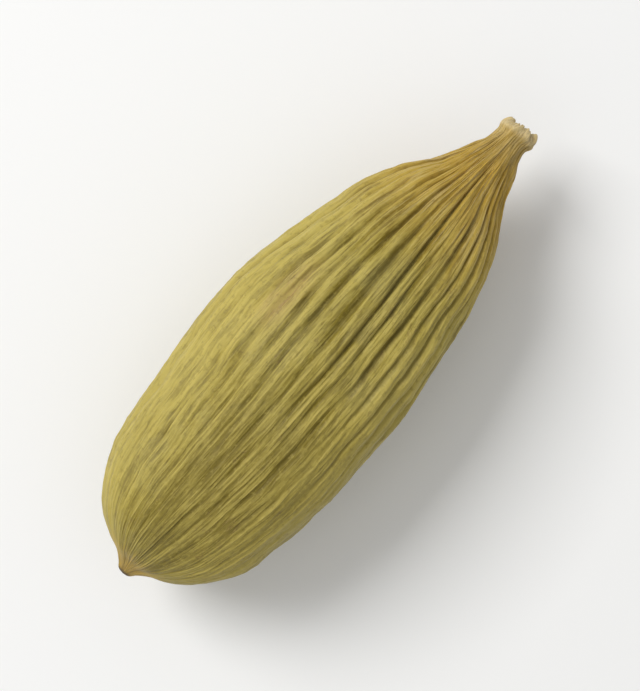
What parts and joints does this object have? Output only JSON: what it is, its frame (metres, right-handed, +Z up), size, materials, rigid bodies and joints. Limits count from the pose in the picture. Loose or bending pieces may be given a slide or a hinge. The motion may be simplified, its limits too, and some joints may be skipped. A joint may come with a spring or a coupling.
{
  "type": "green cardamom pod",
  "caption": "Dried green cardamom pod: an oblong, softly angled papery capsule with long raised ribs, a tapered neck with a cut stalk scar and a blunt beaked tip, lying on its side.",
  "frame": {"origin": "on the surface that the pod lies on, under the middle of its bounding box", "axes": "+X along the pod from the blunt beaked tip to the cut stalk, +Z up from the surface, +Y to the side of the pale keel"},
  "size_m": [0.0204, 0.0074, 0.0071],
  "materials": {
    "husk": "dry papery plant husk, olive green with straw ribs, matt with a slight satin sheen"
  },
  "bodies": {
    "root": {"cardamom_pod": "husk"}
  },
  "joints": []
}
